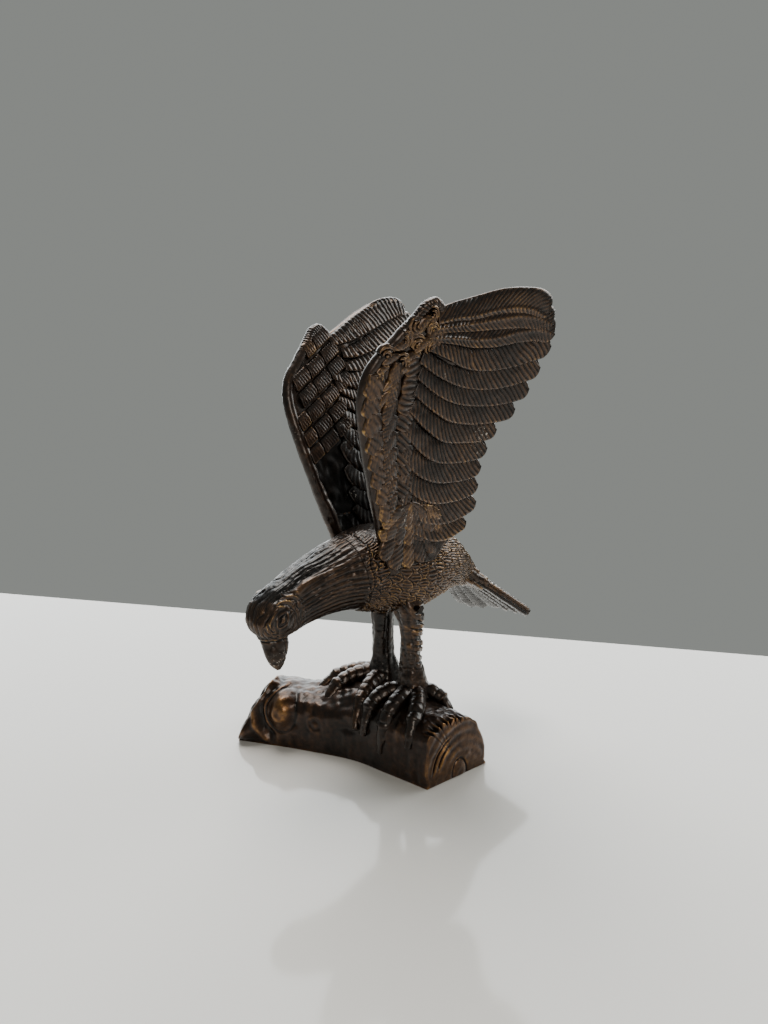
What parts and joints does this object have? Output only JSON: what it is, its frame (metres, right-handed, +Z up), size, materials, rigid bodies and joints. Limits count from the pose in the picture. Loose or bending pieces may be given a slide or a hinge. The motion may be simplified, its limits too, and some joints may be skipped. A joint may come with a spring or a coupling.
{
  "type": "bronze eagle statuette",
  "caption": "Cast bronze statuette of an eagle with raised wings, head bent down, gripping a short hollow log that stands flat.",
  "frame": {"origin": "on the table plane, in the solid web of the log's underside, below the middle of the two legs", "axes": "+Z up, the bird faces -Y and its left wing is on +X"},
  "size_m": [0.0935, 0.1156, 0.1653],
  "materials": {
    "bird_bronze": "dark brown patinated bronze, waxed, rubbed bright on the high edges",
    "log_bronze": "dark brown patinated bronze, smooth chased bark",
    "bronze_pins": "driven bronze pins filed flush and patinated with the casting",
    "steel_fasteners": "dull zinc-plated steel"
  },
  "bodies": {
    "root": {"log_base": "log_bronze", "body": "bird_bronze", "left_wing": "bird_bronze", "right_wing": "bird_bronze", "tail": "bird_bronze", "left_leg": "bird_bronze", "right_leg": "bird_bronze", "left_wing_pin": "bronze_pins", "right_wing_pin": "bronze_pins", "tail_pin": "bronze_pins", "leg_pins": "bronze_pins", "core_plug": "bronze_pins", "foot_studs": "steel_fasteners", "foot_washers": "steel_fasteners", "foot_nuts": "steel_fasteners"}
  },
  "joints": []
}
